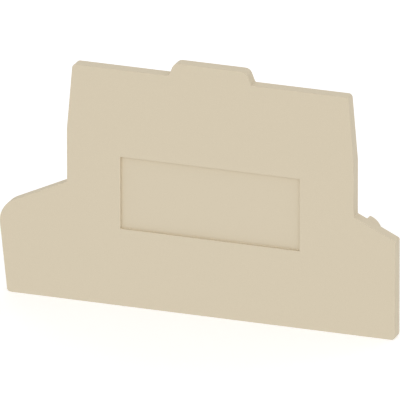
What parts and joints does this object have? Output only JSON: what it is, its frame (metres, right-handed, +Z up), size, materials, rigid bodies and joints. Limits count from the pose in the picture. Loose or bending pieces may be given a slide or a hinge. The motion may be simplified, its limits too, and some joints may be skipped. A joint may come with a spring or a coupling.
{
  "type": "terminal block end cover",
  "caption": "Flat moulded end cover for a rail terminal block, with sloping shoulders, a grip tab, a shallow label pocket and locating pegs.",
  "frame": {"origin": "on the mating face, at its lower edge, on the centre line of the upper body and the tab", "axes": "+X along the cover's length towards the right foot as seen from outside, +Y out of the mating face along the pegs, +Z up from the lower edge to the tab"},
  "size_m": [0.078, 0.0049, 0.049],
  "materials": {
    "housing_plastic": "fine matt moulded polyamide, beige"
  },
  "bodies": {
    "root": {"end_cover": "housing_plastic"}
  },
  "joints": []
}
